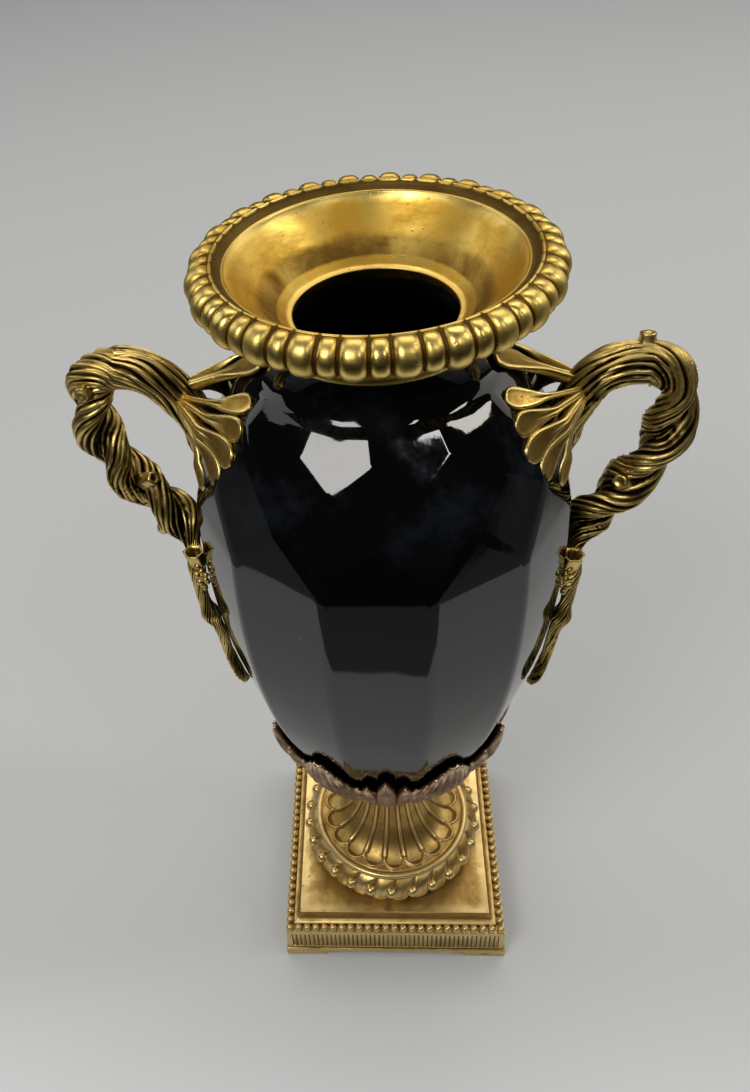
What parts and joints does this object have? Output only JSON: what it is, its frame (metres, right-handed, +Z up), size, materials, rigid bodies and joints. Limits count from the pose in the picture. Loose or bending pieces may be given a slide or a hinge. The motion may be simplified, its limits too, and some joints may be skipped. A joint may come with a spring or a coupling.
{
  "type": "ceramic vase",
  "caption": "Tall faceted black porcelain vase with gilt bronze rim, twisted branch handles, leaf calyx and fluted foot on a square plinth.",
  "frame": {"origin": "middle of the plinth's underside, on the surface the vase stands on", "axes": "+Z up along the vase's axis, X from the left handle to the right handle, -Y towards the front"},
  "size_m": [0.2917, 0.1812, 0.4946],
  "materials": {
    "black_glaze": "high gloss black glaze",
    "gilt_bronze": "gilt bronze, burnished on the high parts, brown in the hollows",
    "dark_gilt": "antique gilt bronze, chased and darkened",
    "brown_bronze": "satin brown bronze"
  },
  "bodies": {
    "root": {"plinth": "gilt_bronze", "foot": "gilt_bronze", "calyx": "brown_bronze", "vase_body": "black_glaze", "rim_mount": "gilt_bronze", "handle_right": "dark_gilt", "handle_left": "dark_gilt"}
  },
  "joints": []
}
